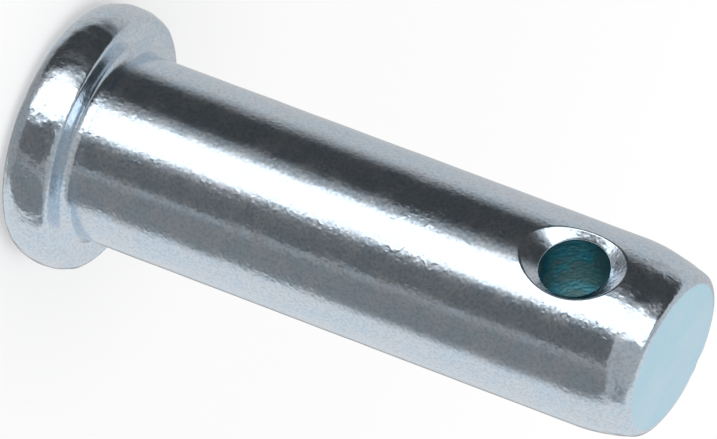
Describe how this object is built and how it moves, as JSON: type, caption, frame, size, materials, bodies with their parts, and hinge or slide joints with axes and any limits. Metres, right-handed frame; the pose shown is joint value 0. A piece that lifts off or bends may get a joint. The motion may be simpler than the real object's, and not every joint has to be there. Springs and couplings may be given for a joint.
{
  "type": "clevis pin",
  "caption": "Headed clevis pin with a flat round head, a plain round shank, a tapered point and a countersunk cross hole for a split pin.",
  "frame": {"origin": "centre of the head's flat top, on which the pin stands", "axes": "+Z along the shank from the head towards the point; +Y and -Y along the cross hole"},
  "size_m": [0.011, 0.011, 0.028],
  "materials": {
    "zinc_plate": "bright zinc plate with a clear blue-white passivate, finely grained"
  },
  "bodies": {
    "root": {"clevis_pin": "zinc_plate"}
  },
  "joints": []
}
